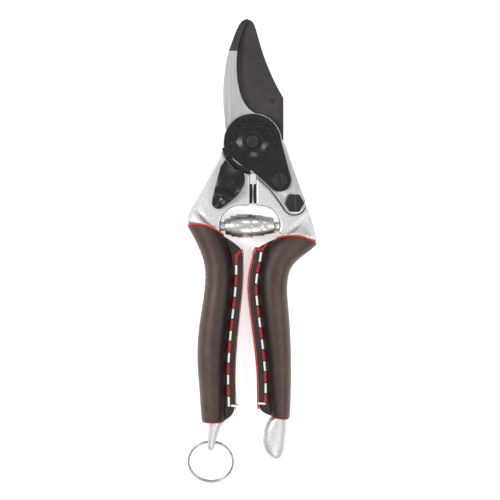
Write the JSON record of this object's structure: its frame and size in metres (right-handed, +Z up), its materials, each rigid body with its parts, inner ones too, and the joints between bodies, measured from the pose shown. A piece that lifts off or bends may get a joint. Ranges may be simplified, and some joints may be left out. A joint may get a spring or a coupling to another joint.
{
  "type": "pruning shears",
  "caption": "Bypass pruning shears: hooked counter-blade over a curved cutting blade, adjusting nut and thumb catch, volute spring, stitched leather grips and a key ring.",
  "frame": {"origin": "centre of the pivot bolt's head, on its flat underside, which lies on the resting plane", "axes": "+Y towards the blade tips, +X towards the handle that carries the hooked blade, +Z up out of the front face with the adjusting nut"},
  "size_m": [0.0647, 0.2293, 0.0193],
  "materials": {
    "satin_aluminium": "satin",
    "coated_blade_steel": "satin",
    "ground_steel": "brushed",
    "black_hardware": "satin",
    "plain_steel": "satin",
    "catch_plastic": "matte",
    "buffer_rubber": "matte",
    "brown_leather": "smooth",
    "red_lining": "matte",
    "white_thread": "waxed",
    "red_thread": "waxed",
    "spring_steel": "polished",
    "nickel_wire": "polished"
  },
  "bodies": {
    "blade_side": {"left_handle": "satin_aluminium", "cutting_blade": "coated_blade_steel", "blade_rivets": "plain_steel", "catch_pin": "plain_steel", "catch_washer": "plain_steel", "left_bumper": "buffer_rubber", "left_lining": "red_lining", "left_leather": "brown_leather", "left_white_thread": "white_thread", "left_red_thread": "red_thread", "volute_spring": "spring_steel"},
    "hook_side": {"right_handle": "satin_aluminium", "hook_blade": "ground_steel", "pivot_bolt": "black_hardware", "adjusting_nut": "black_hardware", "locking_segment": "black_hardware", "segment_screw": "black_hardware", "anvil_bolt": "black_hardware", "anvil_nut": "black_hardware", "right_bumper": "buffer_rubber", "right_lining": "red_lining", "right_leather": "brown_leather", "right_white_thread": "white_thread", "right_red_thread": "red_thread"},
    "thumb_catch": {"thumb_catch": "catch_plastic"},
    "key_ring": {"key_ring": "nickel_wire"}
  },
  "joints": [
    {"name": "handle_pivot", "type": "hinge", "parent": "blade_side", "child": "hook_side", "pos_m": [0, 0, 0.008], "axis": [0, 0, 1], "range_deg": [0, 30], "stiffness_Nm_per_rad": 0.6, "springref_deg": 34.38, "deforming": ["volute_spring"]},
    {"name": "catch_swing", "type": "hinge", "parent": "blade_side", "child": "thumb_catch", "pos_m": [-0.008, -0.0205, 0.0135], "axis": [0, 0, 1], "range_deg": [0, 24]},
    {"name": "ring_swing", "type": "hinge", "parent": "blade_side", "child": "key_ring", "pos_m": [-0.0206, -0.1466, 0.008], "axis": [1, 0, 0], "range_deg": [-125, 90]}
  ]
}
